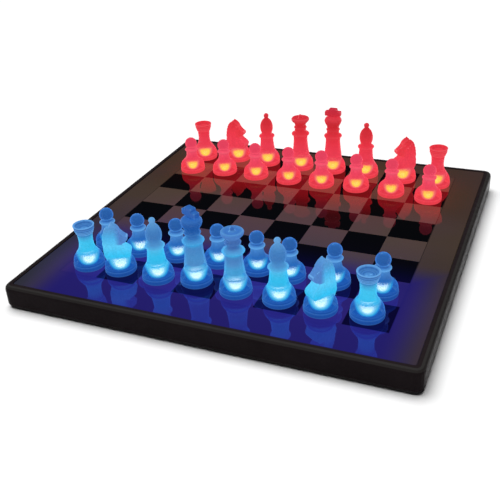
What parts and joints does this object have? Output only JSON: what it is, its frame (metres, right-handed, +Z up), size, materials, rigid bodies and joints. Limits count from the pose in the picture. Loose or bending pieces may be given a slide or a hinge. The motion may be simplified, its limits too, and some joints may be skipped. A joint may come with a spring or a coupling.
{
  "type": "electronic lit chess set",
  "caption": "Square glass-topped powered chess board with two ranks each of lit blue and lit red frosted chessmen.",
  "frame": {"origin": "middle of the board, on the surface that the feet stand on", "axes": "+Z up from the table, +X along the near rank towards its right-hand end, +Y from the blue side to the red side"},
  "size_m": [0.38, 0.38, 0.0971],
  "materials": {
    "frosted_blue": "frosted pressed glass, lit blue from a lamp in the foot",
    "frosted_red": "frosted pressed glass, lit red from a lamp in the foot",
    "case_black": "black moulded plastic, satin with a slight gloss",
    "smoked_glass": "polished smoked glass, squares printed on its underside",
    "black_foam": "soft closed-cell foam",
    "coil_panel_green": "solder-masked circuit laminate",
    "driver_board_green": "solder-masked circuit laminate with black chips",
    "copper_rail": "bare copper strip, slightly dulled",
    "tray_black": "black moulded plastic, matte",
    "cell_jacket": "printed jacket on a steel can",
    "nickel_contact": "nickel-plated spring steel",
    "screw_steel": "black-zinc plated steel",
    "foot_rubber": "matte black rubber",
    "switch_grey": "dark grey moulded plastic",
    "jack_black": "black moulded plastic with a plated centre pin",
    "lead_red": "PVC-insulated wire"
  },
  "bodies": {
    "board": {"frame": "case_black", "base_pan": "case_black", "glass_top": "smoked_glass", "glass_gasket": "black_foam", "coil_panel": "coil_panel_green", "bus_bar_left": "copper_rail", "bus_bar_right": "copper_rail", "battery_tray": "tray_black", "battery_contact_neg": "nickel_contact", "battery_contact_pos": "nickel_contact", "power_switch_body": "switch_grey", "dc_jack": "jack_black", "driver_board": "driver_board_green", "battery_lead": "lead_red", "jack_lead": "lead_red", "battery_cell_1": "cell_jacket", "battery_cell_2": "cell_jacket", "battery_cell_3": "cell_jacket", "case_screw_1": "screw_steel", "foot_1": "foot_rubber", "case_screw_2": "screw_steel", "foot_2": "foot_rubber", "case_screw_3": "screw_steel", "foot_3": "foot_rubber", "case_screw_4": "screw_steel", "foot_4": "foot_rubber"},
    "battery_door": {"battery_door": "case_black"},
    "power_switch_knob": {"power_switch_knob": "switch_grey"},
    "blue_rook_left": {"blue_rook_left": "frosted_blue"},
    "blue_knight_left": {"blue_knight_left": "frosted_blue"},
    "blue_bishop_left": {"blue_bishop_left": "frosted_blue"},
    "blue_king": {"blue_king": "frosted_blue"},
    "blue_queen": {"blue_queen": "frosted_blue"},
    "blue_bishop_right": {"blue_bishop_right": "frosted_blue"},
    "blue_knight_right": {"blue_knight_right": "frosted_blue"},
    "blue_rook_right": {"blue_rook_right": "frosted_blue"},
    "blue_pawn_1": {"blue_pawn_1": "frosted_blue"},
    "blue_pawn_2": {"blue_pawn_2": "frosted_blue"},
    "blue_pawn_3": {"blue_pawn_3": "frosted_blue"},
    "blue_pawn_4": {"blue_pawn_4": "frosted_blue"},
    "blue_pawn_5": {"blue_pawn_5": "frosted_blue"},
    "blue_pawn_6": {"blue_pawn_6": "frosted_blue"},
    "blue_pawn_7": {"blue_pawn_7": "frosted_blue"},
    "blue_pawn_8": {"blue_pawn_8": "frosted_blue"},
    "red_pawn_1": {"red_pawn_1": "frosted_red"},
    "red_pawn_2": {"red_pawn_2": "frosted_red"},
    "red_pawn_3": {"red_pawn_3": "frosted_red"},
    "red_pawn_4": {"red_pawn_4": "frosted_red"},
    "red_pawn_5": {"red_pawn_5": "frosted_red"},
    "red_pawn_6": {"red_pawn_6": "frosted_red"},
    "red_pawn_7": {"red_pawn_7": "frosted_red"},
    "red_pawn_8": {"red_pawn_8": "frosted_red"},
    "red_rook_left": {"red_rook_left": "frosted_red"},
    "red_knight_left": {"red_knight_left": "frosted_red"},
    "red_bishop_left": {"red_bishop_left": "frosted_red"},
    "red_queen": {"red_queen": "frosted_red"},
    "red_king": {"red_king": "frosted_red"},
    "red_bishop_right": {"red_bishop_right": "frosted_red"},
    "red_knight_right": {"red_knight_right": "frosted_red"},
    "red_rook_right": {"red_rook_right": "frosted_red"}
  },
  "joints": [
    {"name": "battery_door_slide", "type": "slide", "parent": "board", "child": "battery_door", "axis": [1, 0, 0], "range_m": [0, 0.034]},
    {"name": "power_switch_slide", "type": "slide", "parent": "board", "child": "power_switch_knob", "axis": [1, 0, 0], "range_m": [0, 0.004]},
    {"name": "blue_rook_left_lift", "type": "slide", "parent": "board", "child": "blue_rook_left", "axis": [0, 0, 1], "range_m": [0, 0.09]},
    {"name": "blue_knight_left_lift", "type": "slide", "parent": "board", "child": "blue_knight_left", "axis": [0, 0, 1], "range_m": [0, 0.09]},
    {"name": "blue_bishop_left_lift", "type": "slide", "parent": "board", "child": "blue_bishop_left", "axis": [0, 0, 1], "range_m": [0, 0.09]},
    {"name": "blue_king_lift", "type": "slide", "parent": "board", "child": "blue_king", "axis": [0, 0, 1], "range_m": [0, 0.09]},
    {"name": "blue_queen_lift", "type": "slide", "parent": "board", "child": "blue_queen", "axis": [0, 0, 1], "range_m": [0, 0.09]},
    {"name": "blue_bishop_right_lift", "type": "slide", "parent": "board", "child": "blue_bishop_right", "axis": [0, 0, 1], "range_m": [0, 0.09]},
    {"name": "blue_knight_right_lift", "type": "slide", "parent": "board", "child": "blue_knight_right", "axis": [0, 0, 1], "range_m": [0, 0.09]},
    {"name": "blue_rook_right_lift", "type": "slide", "parent": "board", "child": "blue_rook_right", "axis": [0, 0, 1], "range_m": [0, 0.09]},
    {"name": "blue_pawn_1_lift", "type": "slide", "parent": "board", "child": "blue_pawn_1", "axis": [0, 0, 1], "range_m": [0, 0.09]},
    {"name": "blue_pawn_2_lift", "type": "slide", "parent": "board", "child": "blue_pawn_2", "axis": [0, 0, 1], "range_m": [0, 0.09]},
    {"name": "blue_pawn_3_lift", "type": "slide", "parent": "board", "child": "blue_pawn_3", "axis": [0, 0, 1], "range_m": [0, 0.09]},
    {"name": "blue_pawn_4_lift", "type": "slide", "parent": "board", "child": "blue_pawn_4", "axis": [0, 0, 1], "range_m": [0, 0.09]},
    {"name": "blue_pawn_5_lift", "type": "slide", "parent": "board", "child": "blue_pawn_5", "axis": [0, 0, 1], "range_m": [0, 0.09]},
    {"name": "blue_pawn_6_lift", "type": "slide", "parent": "board", "child": "blue_pawn_6", "axis": [0, 0, 1], "range_m": [0, 0.09]},
    {"name": "blue_pawn_7_lift", "type": "slide", "parent": "board", "child": "blue_pawn_7", "axis": [0, 0, 1], "range_m": [0, 0.09]},
    {"name": "blue_pawn_8_lift", "type": "slide", "parent": "board", "child": "blue_pawn_8", "axis": [0, 0, 1], "range_m": [0, 0.09]},
    {"name": "red_pawn_1_lift", "type": "slide", "parent": "board", "child": "red_pawn_1", "axis": [0, 0, 1], "range_m": [0, 0.09]},
    {"name": "red_pawn_2_lift", "type": "slide", "parent": "board", "child": "red_pawn_2", "axis": [0, 0, 1], "range_m": [0, 0.09]},
    {"name": "red_pawn_3_lift", "type": "slide", "parent": "board", "child": "red_pawn_3", "axis": [0, 0, 1], "range_m": [0, 0.09]},
    {"name": "red_pawn_4_lift", "type": "slide", "parent": "board", "child": "red_pawn_4", "axis": [0, 0, 1], "range_m": [0, 0.09]},
    {"name": "red_pawn_5_lift", "type": "slide", "parent": "board", "child": "red_pawn_5", "axis": [0, 0, 1], "range_m": [0, 0.09]},
    {"name": "red_pawn_6_lift", "type": "slide", "parent": "board", "child": "red_pawn_6", "axis": [0, 0, 1], "range_m": [0, 0.09]},
    {"name": "red_pawn_7_lift", "type": "slide", "parent": "board", "child": "red_pawn_7", "axis": [0, 0, 1], "range_m": [0, 0.09]},
    {"name": "red_pawn_8_lift", "type": "slide", "parent": "board", "child": "red_pawn_8", "axis": [0, 0, 1], "range_m": [0, 0.09]},
    {"name": "red_rook_left_lift", "type": "slide", "parent": "board", "child": "red_rook_left", "axis": [0, 0, 1], "range_m": [0, 0.09]},
    {"name": "red_knight_left_lift", "type": "slide", "parent": "board", "child": "red_knight_left", "axis": [0, 0, 1], "range_m": [0, 0.09]},
    {"name": "red_bishop_left_lift", "type": "slide", "parent": "board", "child": "red_bishop_left", "axis": [0, 0, 1], "range_m": [0, 0.09]},
    {"name": "red_queen_lift", "type": "slide", "parent": "board", "child": "red_queen", "axis": [0, 0, 1], "range_m": [0, 0.09]},
    {"name": "red_king_lift", "type": "slide", "parent": "board", "child": "red_king", "axis": [0, 0, 1], "range_m": [0, 0.09]},
    {"name": "red_bishop_right_lift", "type": "slide", "parent": "board", "child": "red_bishop_right", "axis": [0, 0, 1], "range_m": [0, 0.09]},
    {"name": "red_knight_right_lift", "type": "slide", "parent": "board", "child": "red_knight_right", "axis": [0, 0, 1], "range_m": [0, 0.09]},
    {"name": "red_rook_right_lift", "type": "slide", "parent": "board", "child": "red_rook_right", "axis": [0, 0, 1], "range_m": [0, 0.09]}
  ]
}
